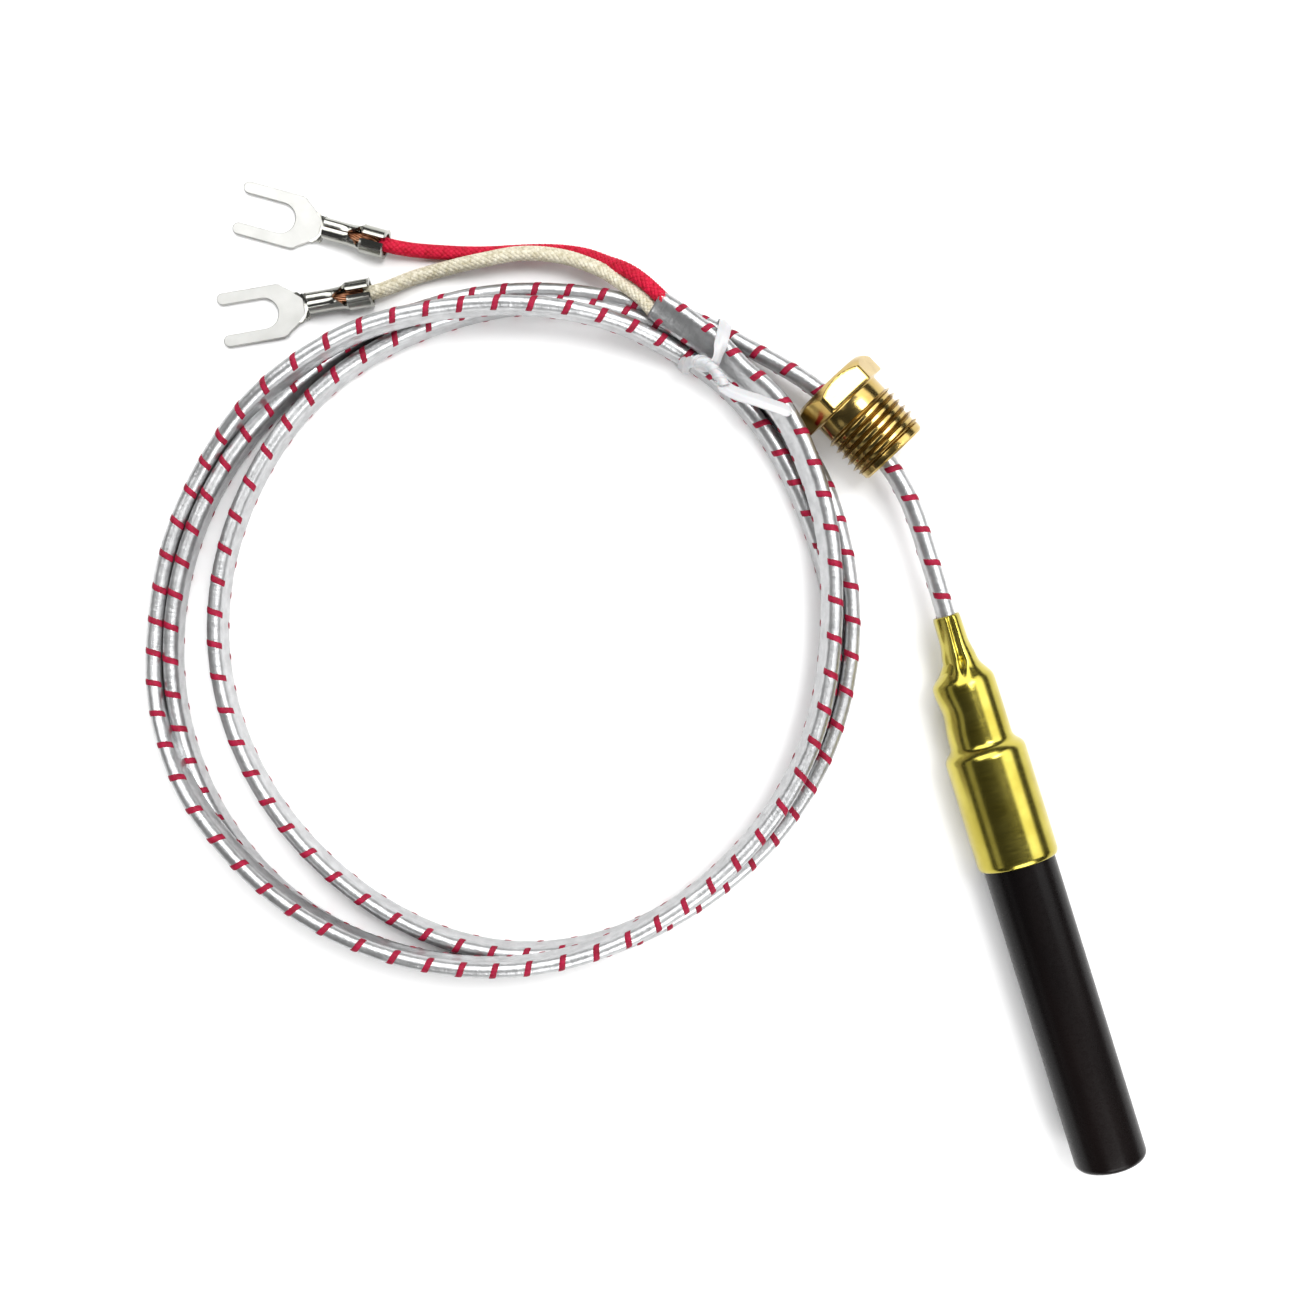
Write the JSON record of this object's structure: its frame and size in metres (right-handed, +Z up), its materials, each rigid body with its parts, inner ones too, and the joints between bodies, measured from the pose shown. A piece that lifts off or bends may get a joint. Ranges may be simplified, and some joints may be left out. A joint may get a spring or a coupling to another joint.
{
  "type": "thermopile generator",
  "caption": "Closed-end metal probe with a stepped brass ferrule, a coiled foil-wrapped lead ending in fork terminals, and a loose threaded hexagon adapter. It powers a gas valve.",
  "frame": {"origin": "on the surface that the object lies on, below the centre of the box around the probe and the adapter", "axes": "+Z up from the surface; +Y along the probe from its closed tip to the crimped neck; the coil lies towards -X"},
  "size_m": [0.1267, 0.1863, 0.0132],
  "materials": {
    "black_steel": "heat-blackened steel, satin",
    "ferrule_brass": "bright polished brass, slightly green",
    "adapter_brass": "machined brass",
    "tinned": "bright tin plate",
    "copper": "bare stranded copper",
    "foil_wrap": "glossy aluminised tape with a red tracer thread",
    "red_braid": "braided glass-fibre sleeve, red",
    "cream_braid": "braided glass-fibre sleeve, cream",
    "ceramic": "unglazed white ceramic",
    "mica": "mica and glass-fibre sheet",
    "thermo_alloy": "nickel alloy wire",
    "tie_white": "white plastic-coated twist tie"
  },
  "bodies": {
    "probe_and_lead": {"sheath_tube": "black_steel", "brass_ferrule": "ferrule_brass", "tip_insulator": "ceramic", "core_rod": "ceramic", "separator_sleeve": "mica", "liner_sleeve": "mica", "couple_01": "thermo_alloy", "couple_02": "thermo_alloy", "couple_03": "thermo_alloy", "couple_04": "thermo_alloy", "couple_05": "thermo_alloy", "couple_06": "thermo_alloy", "couple_07": "thermo_alloy", "couple_08": "thermo_alloy", "couple_09": "thermo_alloy", "couple_10": "thermo_alloy", "couple_11": "thermo_alloy", "couple_12": "thermo_alloy", "couple_13": "thermo_alloy", "couple_14": "thermo_alloy", "couple_15": "thermo_alloy", "couple_16": "thermo_alloy", "couple_17": "thermo_alloy", "couple_18": "thermo_alloy", "couple_19": "thermo_alloy", "couple_20": "thermo_alloy", "couple_21": "thermo_alloy", "couple_22": "thermo_alloy", "couple_23": "thermo_alloy", "couple_24": "thermo_alloy", "couple_25": "thermo_alloy", "cold_end_disc": "ceramic", "positive_tail": "copper", "negative_tail": "copper", "lead_ferrule_end": "foil_wrap", "lead_coil": "foil_wrap", "lead_terminal_end": "foil_wrap", "red_wire": "red_braid", "cream_wire": "cream_braid", "twist_tie": "tie_white", "red_fork_terminal": "tinned", "red_conductor": "copper", "cream_fork_terminal": "tinned", "cream_conductor": "copper"},
    "adapter": {"threaded_adapter": "adapter_brass"}
  },
  "joints": [
    {"name": "adapter_travel", "type": "hinge", "parent": "probe_and_lead", "child": "adapter", "pos_m": [-0.0614, 0.0333, 0.0066], "axis": [0, 0, -1], "range_deg": [0, 26.2]}
  ]
}
